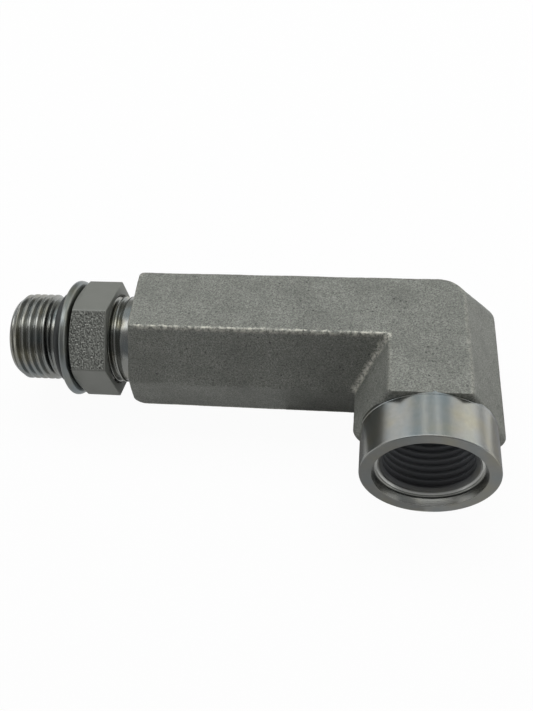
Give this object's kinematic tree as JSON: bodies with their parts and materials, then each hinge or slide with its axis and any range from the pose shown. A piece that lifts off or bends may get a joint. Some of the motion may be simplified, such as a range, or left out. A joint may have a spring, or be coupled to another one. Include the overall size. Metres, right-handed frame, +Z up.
{
  "type": "hydraulic elbow adapter",
  "caption": "Long 90 degree steel elbow adapter: threaded stud with lock nut, backup washer and O-ring, and a threaded female port.",
  "frame": {"origin": "on the resting flat, directly under the point where the stud's axis crosses the port's axis", "axes": "-X out along the stud, -Y out of the female port, +Z up from the resting flat"},
  "size_m": [0.1046, 0.0444, 0.0266],
  "materials": {
    "forged_steel": "plated forged steel, pitted and satin, with turned ends",
    "nut_steel": "plated steel hexagon, satin flats and one rough flat",
    "washer_steel": "plated steel with a rounded rim",
    "seal_rubber": "black nitrile"
  },
  "bodies": {
    "elbow": {"elbow_body": "forged_steel", "o_ring": "seal_rubber"},
    "washer": {"backup_washer": "washer_steel"},
    "nut": {"lock_nut": "nut_steel"}
  },
  "joints": [
    {"name": "washer_slide", "type": "slide", "parent": "elbow", "child": "washer", "axis": [1, 0, 0], "range_m": [0, 0.002]},
    {"name": "nut_spin", "type": "hinge", "parent": "washer", "child": "nut", "pos_m": [-0.0713, 0, 0.0133], "axis": [1, 0, 0], "range_deg": [0, 450]}
  ],
  "couplings": [
    {"joint": "washer_slide", "follows": "nut_spin", "m_per_rad": 0.00025266}
  ]
}
